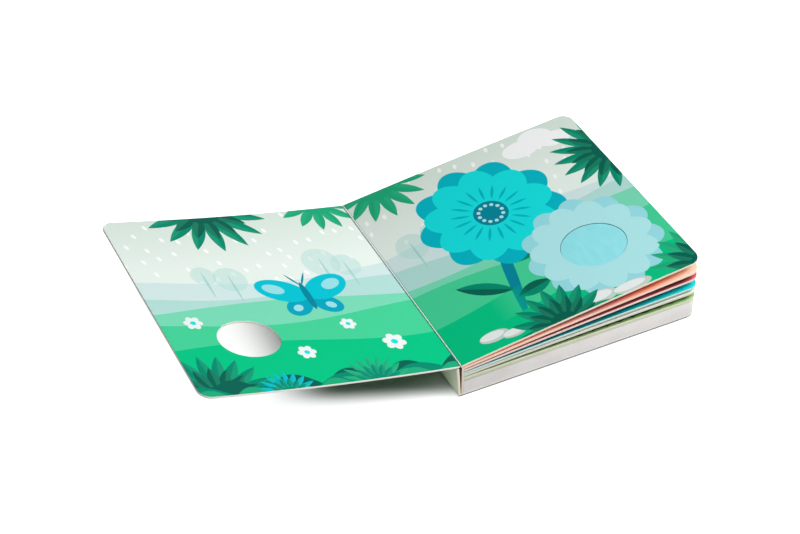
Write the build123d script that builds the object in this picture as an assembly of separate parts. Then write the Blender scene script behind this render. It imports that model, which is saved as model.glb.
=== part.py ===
# Touch-and-feel sound book, lying open on a table. Millimetres, +Z up.
# +X runs from the spine to the fore edge, +Y from tail to head.
# The origin is the middle of the back board's lower face.
import os
from math import cos, radians, sin, tan

from build123d import *

# Book format
page_w = 190.0  # gutter to fore edge
page_h = 190.0  # tail to head
corner_r = 8.5  # rounded corners at the fore edge

# Covers and spine
cover_t = 1.8  # cover board
cover_tilt = 15.2  # open front cover above the table, degrees
cover_bow = 2.0  # dip of the front cover's middle below its chord
hinge_gap = 0.6  # front cover's edge to the gutter line
hinge_paper = 0.1  # paper of the fold, between the cover and the first board when shut
spine_inset = 2.4  # gutter line to the back of the page block
spine_lean = 4.0  # spine board leans outwards, degrees
spine_room = 1.05  # top of the spine board under the open cover
spine_gap = 0.3  # spine board to the lining at the fold
fold_r = 1.5  # outer radius of the fold at the back board
lining_t = 1.6  # card strip glued on the back of the block
lining_r = 1.4  # turned lower edge of that strip
lining_room = 0.3  # top of the strip under the first board

# Page boards, top board first
leaf_t = 2.1  # one board
leaf_gap = 0.25  # air between two boards at the spine
leaf_bow = 0.7  # rise of a free board's middle above its chord
leaf_tilts = [7.0, 4.9, 3.7, 1.9, 1.2, 0.0]  # degrees, the last board is glued down
bind_w = 3.0  # glued strip that joins the boards at the spine

# Touch patches and the hole that frames the first one
patch_fore = 56.0  # centre, from the fore edge
patch_v = 53.5  # centre, from the tail
window_w = 49.0  # window in a board, along X
window_h = 42.5  # window in a board, along Y
window_depth = 1.2
patch_t = 0.7
patch_fit = 0.2  # round the patch in its window
hole_w = 44.0  # hole in the front cover, along X
hole_h = 38.0  # hole in the front cover, along Y

# Foam base
base_h = 13.2
pocket_fit = 0.4  # foam round what it holds
channel_fit = 1.2  # foam round the leads

# Sound module, one moulded case that opens downwards
module_y = 38.0  # centre line
case_wall = 1.4
case_roof = 1.5
case_gap = 0.3  # case under the last board
fit = 0.4  # loose pieces in the case
board_z = 6.2  # lower face of both circuit boards
board_t = 1.0

# Cells and their compartment
cell_x = 40.0  # centre
cell_d = 10.5
cell_l = 44.5  # with the nub
nub_d = 3.8
nub_l = 0.8
cell_pitch = 11.3
cell_room = 0.3  # cell above the door
contact_t = 0.4
contact_w = 6.0
contact_h = 7.0
contact_reach = 2.1  # bent strip, end wall to tip
contact_touch = 0.1  # tip to the cell

# Battery door and its screw
door_t = 1.5
door_lap = 1.0  # door under the compartment's walls
door_fit = 0.4  # door in the back board
door_r = 2.0
screw_d = 2.4
screw_l = 8.0
screw_fit = 0.1
head_d = 4.8
head_t = 0.9
head_sink = 1.1  # depth of the head's seat in the door
drive_l = 3.4
drive_w = 0.6
drive_depth = 0.5
boss_d = 6.0
boss_sink = 0.6  # boss grown into the compartment's wall

# Circuit board and what stands on it
pcb_x = -8.0  # centre
pcb_w = 30.0
pcb_d = 24.0
post_d = 4.0
post_inset = 3.0  # post centre to the board's edges
chip_d = 9.0
chip_h = 1.4
chip_round = 0.9
chip_x = -5.0  # from the board's centre
cap_d = 5.0
cap_h = 5.0
cap_x = 6.0  # from the board's centre
cap_y = 6.0

# Loudspeaker, facing down
speaker_x = -48.0  # centre
speaker_d = 36.0
rim_w = 1.6  # rim round the front recess
rim_t = 1.2
recess_t = 0.6  # front recess in the rim
seat_w = 1.8  # step that carries the cone
basket_d = 18.0  # back of the basket
basket_h = 4.6  # front to back, outside
basket_t = 0.8
magnet_d = 16.0
magnet_h = 4.5
cone_t = 0.4
cone_fit = 0.2  # cone in the front recess
cone_rise = 2.0
dust_d = 10.0  # flat middle of the cone
lug_l = 2.0  # terminal lug on the rim
lug_w = 8.0
lug_rise = 0.2  # lug above the circuit boards
sound_hole_d = 2.4
sound_pitch = 4.6
sound_rings = 3

# Power switch under the circuit board
switch_x = -4.0  # from the board's centre
switch_y = -6.0
switch_l = 9.0
switch_w = 4.4
switch_room = 0.6  # switch above the back board
knob_l = 2.6
knob_w = 2.0
knob_in = 1.6  # knob inside the switch
knob_sink = 0.4  # knob above the table
knob_travel = 2.6
knob_fit = 0.3
slot_fit = 0.7  # slot in the back board round the knob

# Press switch under the patches
guide_d = 30.0
guide_wall = 1.4
guide_h = 10.6
shelf_w = 3.5  # ring that carries the switch plate
plate_fit = 0.1
tab_l = 3.0  # plate's tab beyond the guide
tab_w = 8.0
dome_d = 12.0
dome_top_d = 7.0
dome_h = 1.8
dome_t = 0.6
button_t = 3.0  # disc of the button
button_fit = 0.4
button_gap = 0.4  # button under the last board

# Leads
wire_d = 0.9
wire_pitch = 2.4  # the two leads of a pair
wire_fit = 0.4
wire_x = 2.0  # button leads on the circuit board, from its centre
bend_r = 9.0

# Places that follow from the sizes above
gutter_x = -page_w / 2
fore_x = page_w / 2
block_x = gutter_x + spine_inset
lining_x = block_x - lining_t
base_top = cover_t + base_h
leaf_pitch = leaf_t + leaf_gap
leaf_count = len(leaf_tilts)
gutter_z = base_top + leaf_count * leaf_t + (leaf_count - 1) * leaf_gap
patch_u = page_w - patch_fore
patch_x = gutter_x + patch_u
patch_y = patch_v - page_h / 2
case_top = base_top - case_gap
roof_z = case_top - case_roof
board_top = board_z + board_t
wire_z = board_z + board_t / 2
room_l = cell_l + 2 * (contact_reach + contact_touch)
room_w = cell_pitch + cell_d + 2 * fit
room_x0 = cell_x - room_l / 2
room_x1 = cell_x + room_l / 2
screw_x = room_x1 + case_wall + boss_d / 2 - boss_sink
door_x0 = room_x0 - door_lap
door_x1 = screw_x + boss_d / 2
door_w = room_w + 2 * door_lap
case_x0 = speaker_x - speaker_d / 2 - fit - case_wall
case_x1 = door_x1 + door_fit + 2 * case_wall
case_w = speaker_d + 2 * (fit + case_wall)
pcb_x0 = pcb_x - pcb_w / 2
pcb_x1 = pcb_x + pcb_w / 2
pcb_y0 = module_y - pcb_d / 2
lead_x = pcb_x + wire_x
tab_x = patch_x - guide_d / 2 - tab_l


def slab(x0, x1, y0, y1, z0, z1):
    # Block between two corners
    middle = Pos((x0 + x1) / 2, (y0 + y1) / 2, (z0 + z1) / 2)
    return middle * Box(x1 - x0, y1 - y0, z1 - z0)


def rod(x, y, z0, z1, diameter):
    # Upright cylinder between two heights
    return Pos(x, y, (z0 + z1) / 2) * Cylinder(diameter / 2, z1 - z0)


def oval(x, y, z0, z1, width, height):
    # Upright oval column
    return Pos(x, y, z0) * extrude(Ellipse(width / 2, height / 2), z1 - z0)


def prism(points, width):
    # Closed outline in X and Z, carried along Y to both sides
    face = make_face(Polyline(*points, close=True))
    return extrude(Plane.XZ * face, width / 2, both=True)


def turned(points, x, y):
    # Closed outline in radius and height, turned about an upright axis
    face = make_face(Polyline(*points, close=True))
    return Pos(x, y, 0) * revolve(Plane.XZ * face, Axis.Z)


def bow_line(start, end, rise):
    # Straight line, or an arc whose middle lies rise above the chord
    if rise == 0:
        return Line(start, end)
    middle = ((start[0] + end[0]) / 2, (start[1] + end[1]) / 2 + rise)
    return ThreePointArc(start, middle, end)


def board(start, end, thick, bow):
    # Flat or bowed board from X start to X end, upper face at Z 0, round corners at the far end
    outline = [
        bow_line((start, 0), (end, 0), bow),
        Line((end, 0), (end, -thick)),
        bow_line((end, -thick), (start, -thick), bow),
        Line((start, -thick), (start, 0)),
    ]
    solid = extrude(Plane.XZ * make_face(outline), page_h / 2, both=True)
    corners = solid.edges().filter_by(Axis.Z).group_by(Axis.X)[-1]
    return fillet(corners, corner_r)


def bow_height(u, width, bow):
    # Height of a bowed board's face over its chord at u
    share = u / width
    return 4 * bow * share * (1 - share)


def rounded_sheet(x0, z0, z1):
    # Sheet from X x0 to the fore edge with the book's round corners
    sheet = slab(x0, fore_x, -page_h / 2, page_h / 2, z0, z1)
    corners = sheet.edges().filter_by(Axis.Z).group_by(Axis.X)[-1]
    return fillet(corners, corner_r)


def leaf_plane(index):
    # Plane of a page board's upper face, at its spine end
    tilt = radians(leaf_tilts[index])
    x = gutter_x if index == 0 else block_x
    along = (cos(tilt), 0, sin(tilt))
    normal = (-sin(tilt), 0, cos(tilt))
    return Plane(origin=(x, 0, gutter_z - index * leaf_pitch), x_dir=along, z_dir=normal)


def leaf_sizes(index):
    # Start inside the glued strip, length, and bow of one board; the first one reaches the gutter
    if index == 0:
        return 0, page_w, leaf_bow
    bow = leaf_bow if leaf_tilts[index] else 0
    return bind_w / 2, page_w - spine_inset, bow


def leaf_window(index):
    # Centre and height of a board's window, in the board's own plane
    start, length, bow = leaf_sizes(index)
    u = patch_u if index == 0 else patch_u - spine_inset
    return u, bow_height(u, length, bow)


def make_front_cover():
    # One stiff board, open to the left, with the oval hole
    tilt = radians(cover_tilt)
    leaf = board(hinge_gap, page_w, cover_t, -cover_bow)
    depth = cover_t + cover_bow
    leaf -= oval(patch_u, -patch_y, -2 * depth, depth, hole_w, hole_h)
    plane = Plane(
        origin=(gutter_x, 0, gutter_z),
        x_dir=(-cos(tilt), 0, sin(tilt)),
        z_dir=(sin(tilt), 0, cos(tilt)),
    )
    return plane * Pos(0, 0, -hinge_paper) * leaf


def make_back_cover():
    # Back board and spine board, folded from one sheet
    lean = radians(spine_lean)
    top_z = gutter_z - cover_t - spine_room
    fold_x = lining_x - spine_gap
    top_x = fold_x - (top_z - cover_t) * tan(lean)
    outer_top_x = top_x - cover_t / cos(lean)
    outer_fold_x = outer_top_x + top_z * tan(lean)
    sheet = prism(
        [
            (outer_fold_x, 0),
            (fore_x, 0),
            (fore_x, cover_t),
            (fold_x, cover_t),
            (top_x, top_z),
            (outer_top_x, top_z),
        ],
        page_h,
    )
    corners = sheet.edges().filter_by(Axis.Z).group_by(Axis.X)[-1]
    sheet = fillet(corners, corner_r)
    fold = sheet.edges().filter_by(Axis.Y).group_by(Axis.Z)[0].sort_by(Axis.X)[0]
    sheet = fillet(fold, fold_r)
    sheet -= door_plate(door_fit, 0, cover_t)
    sheet -= knob_block(slot_fit, 0, cover_t)
    for x, y in sound_places():
        sheet -= rod(x, y, 0, cover_t, sound_hole_d)
    return sheet


def sound_places():
    # Rings of six, twelve and more holes round a middle one
    places = [(speaker_x, module_y)]
    for ring in range(1, sound_rings):
        spots = PolarLocations(ring * sound_pitch, 6 * ring)
        places += [(speaker_x + s.position.X, module_y + s.position.Y) for s in spots]
    return places


def make_spine_lining():
    # Card strip on the back of the block, its lower edge turned in
    top_z = gutter_z - leaf_t - lining_room
    strip = slab(lining_x, block_x, -page_h / 2, page_h / 2, cover_t, top_z)
    edge = strip.edges().filter_by(Axis.Y).group_by(Axis.Z)[0].sort_by(Axis.X)[0]
    return fillet(edge, lining_r)


def make_page_block():
    # Six boards fanned from the glued strip, each with a window for its patch
    strip_top = gutter_z - leaf_t / 2
    block = slab(block_x, block_x + bind_w, -page_h / 2, page_h / 2, base_top, strip_top)
    for index in range(leaf_count):
        start, length, bow = leaf_sizes(index)
        u, height = leaf_window(index)
        leaf = board(start, length, leaf_t, bow)
        leaf -= oval(u, patch_y, height - window_depth, height + leaf_t, window_w, window_h)
        block += leaf_plane(index) * leaf
    return block


def make_patch(index):
    # Soft oval patch on the floor of its window
    u, height = leaf_window(index)
    floor = height - window_depth
    width = window_w - 2 * patch_fit
    return leaf_plane(index) * oval(u, patch_y, floor, floor + patch_t, width, window_h - 2 * patch_fit)


def make_foam_base():
    # Thick block with pockets for the module, the press switch and its leads
    foam = rounded_sheet(block_x, cover_t, base_top)
    y0 = module_y - case_w / 2 - pocket_fit
    y1 = module_y + case_w / 2 + pocket_fit
    foam -= slab(case_x0 - pocket_fit, case_x1 + pocket_fit, y0, y1, cover_t, base_top)
    foam -= rod(patch_x, patch_y, cover_t, base_top, guide_d + 2 * pocket_fit)
    half = (wire_pitch + wire_d) / 2 + channel_fit
    foam -= slab(lead_x - half, lead_x + half, patch_y - half, y0, cover_t, base_top)
    half = tab_w / 2 + channel_fit
    foam -= slab(lead_x - half, patch_x, patch_y - half, patch_y + half, cover_t, base_top)
    return foam


def make_module_case():
    # Moulded case with a battery compartment, a screw boss and two board posts
    y0 = module_y - case_w / 2
    y1 = module_y + case_w / 2
    case = slab(case_x0, case_x1, y0, y1, cover_t, case_top)
    inner = (case_x0 + case_wall, case_x1 - case_wall, y0 + case_wall, y1 - case_wall)
    case -= slab(*inner, cover_t, roof_z)
    outer_w = room_w / 2 + case_wall
    across = (module_y - outer_w, module_y + outer_w)
    room = slab(room_x0 - case_wall, room_x1 + case_wall, *across, cover_t, roof_z)
    room -= slab(room_x0, room_x1, module_y - room_w / 2, module_y + room_w / 2, cover_t, roof_z)
    case += room
    case += rod(screw_x, module_y, cover_t, roof_z, boss_d)
    case -= rod(screw_x, module_y, cover_t, cover_t + screw_l, screw_d + screw_fit)
    for side in (-1, 1):
        case += rod(*post_place(side), board_top, roof_z, post_d)
        lead = Pos(room_x0, module_y + side * cell_pitch / 2, wire_z) * Rot(0, 90, 0)
        case -= lead * Cylinder(wire_d / 2 + wire_fit, 3 * case_wall)
    half = (wire_pitch + wire_d) / 2 + wire_fit
    case -= slab(lead_x - half, lead_x + half, y0, y0 + case_wall, cover_t, wire_z + half)
    return case


def post_place(side):
    # Posts stand at two opposite corners of the circuit board
    return pcb_x + side * (pcb_w / 2 - post_inset), module_y - side * (pcb_d / 2 - post_inset)


def door_plate(grow, z0, z1):
    # Rounded plate of the battery door, grown all round by a clearance
    half = door_w / 2 + grow
    plate = slab(door_x0 - grow, door_x1 + grow, module_y - half, module_y + half, z0, z1)
    return fillet(plate.edges().filter_by(Axis.Z), door_r)


def make_battery_door():
    # Door, flush in the back board, with a seat for the screw's head
    low = cover_t - door_t
    door = door_plate(0, low, cover_t)
    door -= rod(screw_x, module_y, low, low + head_sink, head_d + fit)
    door -= rod(screw_x, module_y, low, cover_t, screw_d + screw_fit)
    return door


def make_door_screw():
    # Pan head screw with a cross drive, driven up into the boss
    seat = cover_t - door_t + head_sink
    screw = rod(screw_x, module_y, seat - head_t, seat, head_d)
    screw += rod(screw_x, module_y, seat, seat + screw_l - head_sink, screw_d)
    low = seat - head_t
    for half_x, half_y in ((drive_l / 2, drive_w / 2), (drive_w / 2, drive_l / 2)):
        screw -= slab(
            screw_x - half_x,
            screw_x + half_x,
            module_y - half_y,
            module_y + half_y,
            low,
            low + drive_depth,
        )
    return screw


def make_cell(side):
    # Small round cell, its nub to one end
    z = cover_t + cell_room + cell_d / 2
    body_l = cell_l - nub_l
    can = Pos(-nub_l / 2, 0, 0) * Rot(0, 90, 0) * Cylinder(cell_d / 2, body_l)
    can += Pos(body_l / 2, 0, 0) * Rot(0, 90, 0) * Cylinder(nub_d / 2, nub_l)
    turn = 0 if side > 0 else 180
    return Pos(cell_x, module_y + side * cell_pitch / 2, z) * Rot(0, 0, turn) * can


def make_contact(x, direction, y, width):
    # Bent strip: a plate on the end wall and a springy tongue that reaches the cell
    low = cover_t + cell_room + (cell_d - contact_h) / 2
    high = low + contact_h
    middle = (low + high) / 2
    reach = contact_reach
    outline = [
        (0, low),
        (contact_t, low),
        (contact_t, high - contact_t),
        (reach - contact_t, middle),
        (reach - 2 * contact_t, low),
        (reach - contact_t, low),
        (reach, middle),
        (contact_t, high),
        (0, high),
    ]
    points = [(x + direction * px, pz) for px, pz in outline]
    return Pos(0, y, 0) * prism(points, width)


def make_circuit_board():
    # Plain board under the two posts
    y1 = module_y + pcb_d / 2
    return slab(pcb_x0, pcb_x1, pcb_y0, y1, board_z, board_top)


def make_sound_chip():
    # Blob of black resin over the chip
    blob = rod(pcb_x + chip_x, module_y, board_top, board_top + chip_h, chip_d)
    rim = blob.edges().group_by(Axis.Z)[-1]
    return fillet(rim, chip_round)


def make_capacitor():
    # Upright can
    return rod(pcb_x + cap_x, module_y + cap_y, board_top, board_top + cap_h, cap_d)


def make_speaker_frame():
    # Pressed basket with a rim, a step for the cone and a terminal lug
    rim = speaker_d / 2
    recess = rim - rim_w
    seat = recess - seat_w
    low = cover_t
    back = low + basket_h
    basket = turned(
        [
            (recess, low),
            (rim, low),
            (rim, low + rim_t),
            (recess, low + rim_t),
            (basket_d / 2, back),
            (0, back),
            (0, back - basket_t),
            (basket_d / 2 - basket_t, back - basket_t),
            (seat, low + rim_t),
            (seat, low + recess_t),
            (recess, low + recess_t),
        ],
        speaker_x,
        module_y,
    )
    lug_x = lug_face()
    half = lug_w / 2
    return basket + slab(
        lug_x - lug_l,
        lug_x,
        module_y - half,
        module_y + half,
        low + rim_t / 2,
        board_top + lug_rise,
    )


def lug_face():
    # Outer face of the terminal lug, just inside the rim
    return speaker_x + speaker_d / 2 - rim_w / 2


def make_speaker_magnet():
    # Ring magnet and yoke on the back of the basket
    low = cover_t + basket_h
    return rod(speaker_x, module_y, low, low + magnet_h, magnet_d)


def make_speaker_cone():
    # Paper cone glued on the step, with a flat middle
    outer = speaker_d / 2 - rim_w - cone_fit
    seat = outer - seat_w
    top = cover_t + recess_t
    rise = top + cone_rise
    return turned(
        [
            (0, rise),
            (dust_d / 2, rise),
            (seat, top),
            (outer, top),
            (outer, top - cone_t),
            (seat - cone_t, top - cone_t),
            (dust_d / 2 - cone_t, rise - cone_t),
            (0, rise - cone_t),
        ],
        speaker_x,
        module_y,
    )


def knob_block(grow, z0, z1):
    # Room that the switch's knob sweeps over its travel, grown by a clearance
    x0 = pcb_x + switch_x - (knob_l + knob_travel) / 2
    y = module_y + switch_y
    half = knob_w / 2 + grow
    return slab(x0 - grow, x0 + knob_l + knob_travel + grow, y - half, y + half, z0, z1)


def make_switch_body():
    # Switch under the circuit board, slotted for its knob
    x = pcb_x + switch_x
    y = module_y + switch_y
    low = cover_t + switch_room
    body = slab(x - switch_l / 2, x + switch_l / 2, y - switch_w / 2, y + switch_w / 2, low, board_z)
    return body - knob_block(knob_fit, low, low + knob_in + knob_fit)


def make_switch_knob():
    # Knob at its off end, short of the table
    x0 = pcb_x + switch_x - (knob_l + knob_travel) / 2
    y = module_y + switch_y
    top = cover_t + switch_room + knob_in
    return slab(x0, x0 + knob_l, y - knob_w / 2, y + knob_w / 2, knob_sink, top)


def make_button_guide():
    # Round guide with a shelf for the switch plate and a notch for its tab
    ring = rod(patch_x, patch_y, cover_t, cover_t + guide_h, guide_d)
    bore = guide_d - 2 * guide_wall
    ring -= rod(patch_x, patch_y, board_z, cover_t + guide_h, bore)
    ring -= rod(patch_x, patch_y, cover_t, board_z, bore - 2 * shelf_w)
    half = tab_w / 2 + fit
    x0 = patch_x - guide_d / 2
    return ring - slab(x0, x0 + 2 * guide_wall, patch_y - half, patch_y + half, board_z, board_top + fit)


def make_button_plate():
    # Round circuit plate on the shelf, with a tab for the leads
    plate = rod(patch_x, patch_y, board_z, board_top, guide_d - 2 * (guide_wall + plate_fit))
    half = tab_w / 2
    return plate + slab(tab_x, patch_x, patch_y - half, patch_y + half, board_z, board_top)


def make_button_dome():
    # Rubber dome that springs the button back
    top = board_top + dome_h
    return turned(
        [
            (dome_d / 2 - dome_t, board_top),
            (dome_d / 2, board_top),
            (dome_top_d / 2, top),
            (0, top),
            (0, top - dome_t),
            (dome_top_d / 2 - dome_t, top - dome_t),
        ],
        patch_x,
        patch_y,
    )


def make_button_cap():
    # Disc under the last board, with a stem on the dome
    top = base_top - button_gap
    disc_d = guide_d - 2 * (guide_wall + button_fit)
    cap = rod(patch_x, patch_y, top - button_t, top, disc_d)
    return cap + rod(patch_x, patch_y, board_top + dome_h, top - button_t, dome_top_d)


def lead_tube(path):
    # Round lead along a path
    section = Plane(origin=path @ 0, z_dir=path % 0) * Circle(wire_d / 2)
    return sweep(section, path)


def make_battery_wires():
    # Straight pair from the circuit board to the contacts
    pair = Part()
    for side in (-1, 1):
        y = module_y + side * cell_pitch / 2
        pair += lead_tube(Line((pcb_x1, y, wire_z), (room_x0, y, wire_z)))
    return pair


def make_speaker_wires():
    # Straight pair from the circuit board to the terminal lug
    pair = Part()
    for side in (-1, 1):
        y = module_y + side * wire_pitch / 2
        pair += lead_tube(Line((pcb_x0, y, wire_z), (lug_face(), y, wire_z)))
    return pair


def make_button_wires():
    # Pair that leaves the circuit board towards the tail and turns to the switch plate
    pair = Part()
    for side in (-1, 1):
        shift = side * wire_pitch / 2
        start = (lead_x + shift, pcb_y0, wire_z)
        corner = (lead_x + shift, patch_y + shift, wire_z)
        end = (tab_x, patch_y + shift, wire_z)
        pair += lead_tube(FilletPolyline(start, corner, end, radius=bend_r - shift))
    return pair


parts = {
    "front_cover": make_front_cover(),
    "back_cover": make_back_cover(),
    "spine_lining": make_spine_lining(),
    "page_block": make_page_block(),
    "foam_base": make_foam_base(),
    "module_case": make_module_case(),
    "battery_door": make_battery_door(),
    "door_screw": make_door_screw(),
    "battery_1": make_cell(-1),
    "battery_2": make_cell(1),
    "contact_bridge": make_contact(room_x1, -1, module_y, cell_pitch + contact_w),
    "contact_positive": make_contact(room_x0, 1, module_y - cell_pitch / 2, contact_w),
    "contact_negative": make_contact(room_x0, 1, module_y + cell_pitch / 2, contact_w),
    "circuit_board": make_circuit_board(),
    "sound_chip": make_sound_chip(),
    "capacitor": make_capacitor(),
    "speaker_frame": make_speaker_frame(),
    "speaker_magnet": make_speaker_magnet(),
    "speaker_cone": make_speaker_cone(),
    "power_switch_body": make_switch_body(),
    "power_switch_knob": make_switch_knob(),
    "button_guide": make_button_guide(),
    "button_plate": make_button_plate(),
    "button_dome": make_button_dome(),
    "button_cap": make_button_cap(),
    "battery_wires": make_battery_wires(),
    "speaker_wires": make_speaker_wires(),
    "button_wires": make_button_wires(),
}
for index in range(leaf_count):
    parts[f"touch_patch_{index + 1}"] = make_patch(index)

os.makedirs("parts", exist_ok=True)
for name, shape in parts.items():
    export_step(shape, f"parts/{name}.step")
    print(name, round(shape.volume / 1000, 3), "cm3")
print("gutter", gutter_x, gutter_z, "patch", patch_x, patch_y)
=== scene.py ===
# Looks of the touch-and-feel sound book: printed boards, soft patches, foam base and sound module
import math

import bmesh
import bpy
import numpy as np
from mathutils import Matrix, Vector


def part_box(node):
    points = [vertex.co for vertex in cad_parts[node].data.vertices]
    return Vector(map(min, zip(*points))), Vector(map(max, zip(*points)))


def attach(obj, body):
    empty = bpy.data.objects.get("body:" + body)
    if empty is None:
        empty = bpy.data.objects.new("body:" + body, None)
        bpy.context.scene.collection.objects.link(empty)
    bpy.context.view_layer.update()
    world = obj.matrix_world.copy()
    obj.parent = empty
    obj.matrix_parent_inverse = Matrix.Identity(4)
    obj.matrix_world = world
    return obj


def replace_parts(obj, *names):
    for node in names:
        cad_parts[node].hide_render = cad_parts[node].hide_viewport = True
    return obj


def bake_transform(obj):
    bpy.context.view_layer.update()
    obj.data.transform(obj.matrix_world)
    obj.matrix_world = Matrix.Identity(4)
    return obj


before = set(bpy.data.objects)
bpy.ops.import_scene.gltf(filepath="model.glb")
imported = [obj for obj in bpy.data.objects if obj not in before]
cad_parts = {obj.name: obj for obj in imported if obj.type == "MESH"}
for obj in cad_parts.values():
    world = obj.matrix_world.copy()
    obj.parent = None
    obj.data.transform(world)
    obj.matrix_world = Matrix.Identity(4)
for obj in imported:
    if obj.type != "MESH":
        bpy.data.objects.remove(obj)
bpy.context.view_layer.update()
scene = bpy.context.scene
scene.view_settings.view_transform = "Standard"
print("frame loaded,", len(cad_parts), "solids")

# The book's format and where its boards lie, in millimetres of the frame
book = {
    "pageWidth": 190.0,  # gutter to fore edge
    "pageHeight": 190.0,  # tail to head
    "foreRadius": 8.5,  # round corners at the fore edge
    "spineRadius": 0.35,  # cut corners at the spine
    "gutter": (-95.0, 28.85),  # X and Z of the fold
    "patch": (134.0, 53.5),  # centre of the patches, from the gutter and from the tail
    "inset": 2.4,  # the inner boards start this far from the gutter
}


# Shader maths

class Wire:
    # One socket of a node tree, so that shader maths reads as Python
    def __init__(self, tree, socket=None):
        self.tree = tree
        self.socket = socket

    def node(self, kind, settings=None, inputs=None, output=0):
        made = self.tree.nodes.new(kind)
        for name, value in (settings or {}).items():
            if name == "stops":
                while len(made.color_ramp.elements) < len(value):
                    made.color_ramp.elements.new(0.5)
                for element, (at, colour) in zip(made.color_ramp.elements, value):
                    element.position, element.color = at, colour
            else:
                setattr(made, name, value)
        for name, value in (inputs or {}).items():
            if isinstance(value, Wire):
                self.tree.links.new(value.socket, made.inputs[name])
            else:
                made.inputs[name].default_value = value
        return Wire(self.tree, made.outputs[output])

    def math(self, operation, *values, clamp=False):
        settings = {"operation": operation, "use_clamp": clamp}
        return self.node("ShaderNodeMath", settings, dict(enumerate(values)))

    def vector(self, operation, *values, output=0):
        return self.node("ShaderNodeVectorMath", {"operation": operation}, dict(enumerate(values)), output)

    def paint(self, mask, colour, blend="MIX"):
        # This colour, with another one laid over it where the mask is 1
        settings = {"data_type": "RGBA", "blend_type": blend}
        return self.node("ShaderNodeMix", settings, {0: mask, 6: self, 7: colour}, 2)

    def __add__(self, other):
        return self.math("ADD", self, other)

    def __sub__(self, other):
        return self.math("SUBTRACT", self, other)

    def __rsub__(self, other):
        return self.math("SUBTRACT", other, self)

    def __mul__(self, other):
        return self.math("MULTIPLY", self, other)

    def __truediv__(self, other):
        return self.math("DIVIDE", self, other)

    def __abs__(self):
        return self.math("ABSOLUTE", self)

    def __or__(self, other):
        return self.math("MAXIMUM", self, other)

    __radd__ = __add__
    __rmul__ = __mul__


def ink(red, green, blue):
    # A print colour of 0 to 255 as the linear colour that a shader takes
    share = np.array([red, green, blue]) / 255
    linear = np.where(share <= 0.04045, share / 12.92, ((share + 0.055) / 1.055) ** 2.4)
    return (*linear.tolist(), 1.0)


def newFinish(name):
    # Material with a bare Principled shader, and its Object coordinates
    material = bpy.data.materials.new(name)
    material.use_nodes = True
    return material, Wire(material.node_tree).node("ShaderNodeTexCoord", output="Object")


def setSurface(material, colour, rough, normal=None, shine=0.5, metal=0.0, **more):
    # Values and wires for the sockets of the Principled shader
    shader = material.node_tree.nodes["Principled BSDF"]
    more |= {"Base Color": colour, "Roughness": rough, "Specular IOR Level": shine, "Metallic": metal}
    if normal:
        more["Normal"] = normal
    for name, value in more.items():
        if isinstance(value, Wire):
            material.node_tree.links.new(value.socket, shader.inputs[name])
        else:
            shader.inputs[name].default_value = value
    return material


def grain(place, scale, detail=3.0, stretch=(1, 1, 1), rough=0.5):
    # Noise of so many cells a metre, 0 to 1, drawn out along an axis where its stretch is small
    spread = place.vector("MULTIPLY", place, tuple(scale * s for s in stretch))
    inputs = {"Vector": spread, "Scale": 1.0, "Detail": detail, "Roughness": rough}
    return spread.node("ShaderNodeTexNoise", inputs=inputs)


def bump(height, strength, depth=0.0002):
    return height.node("ShaderNodeBump", inputs={"Height": height, "Strength": strength, "Distance": depth})


def mixed(mask, colour, other):
    # One colour where the mask is 0, the other where it is 1
    return mask.node("ShaderNodeMix", {"data_type": "RGBA"}, {0: mask, 6: colour, 7: other}, 2)


def toned(level, *stops):
    # The colour of a level on a ramp, whose stops are a level and a colour
    return level.node("ShaderNodeValToRGB", {"stops": stops}, {0: level})


def measure(place, direction, offset=0.0):
    # Millimetres along a direction of the frame
    along = place.vector("DOT_PRODUCT", place, tuple(1000 * d for d in direction), output="Value")
    return along + offset if offset else along


def split(vector, count=2):
    return [vector.node("ShaderNodeSeparateXYZ", inputs={0: vector}, output=axis) for axis in range(count)]


def edgeMask(inside, soft=0.22):
    # 1 where inside is positive, with an edge that is soft millimetres wide
    return inside.math("MULTIPLY_ADD", inside, 1 / soft, 0.5, clamp=True)


def past(v, start, soft):
    # 1 past a start, with a soft edge
    return edgeMask(v - start, soft)


def fade(v, start, over):
    # 0 up to a start, growing to 1 over so many millimetres
    return v.math("MULTIPLY_ADD", v, 1 / over, -start / over, clamp=True)


# Simple shapes of the prints, as masks

def localTo(place, centre, turn=0.0, size=(1, 1)):
    # The place seen from a centre, turned back by an angle and divided by a size
    turned = (0, 0, math.radians(turn))
    inputs = {"Vector": place, "Location": (*centre, 0), "Rotation": turned, "Scale": (*size, 1)}
    return place.node("ShaderNodeMapping", {"vector_type": "TEXTURE"}, inputs)


def oval(place, centre, radii, turn=0.0):
    # One less the length of the place in the oval's own axes
    local = localTo(place, centre, turn, radii)
    return edgeMask((1 - local.vector("LENGTH", local, output="Value")) * min(radii))


def blade(place, base, tip, half):
    # Pointed leaf: half width times one less the square of the place along it, less the place across it
    middle = ((base[0] + tip[0]) / 2, (base[1] + tip[1]) / 2)
    turn = math.degrees(math.atan2(tip[1] - base[1], tip[0] - base[0]))
    along, across = split(localTo(place, middle, turn, (math.dist(base, tip) / 2, 1)))
    whole = edgeMask(along.math("MULTIPLY_ADD", along * along, -half, half) - abs(across))
    return whole, whole * edgeMask(across)


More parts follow.
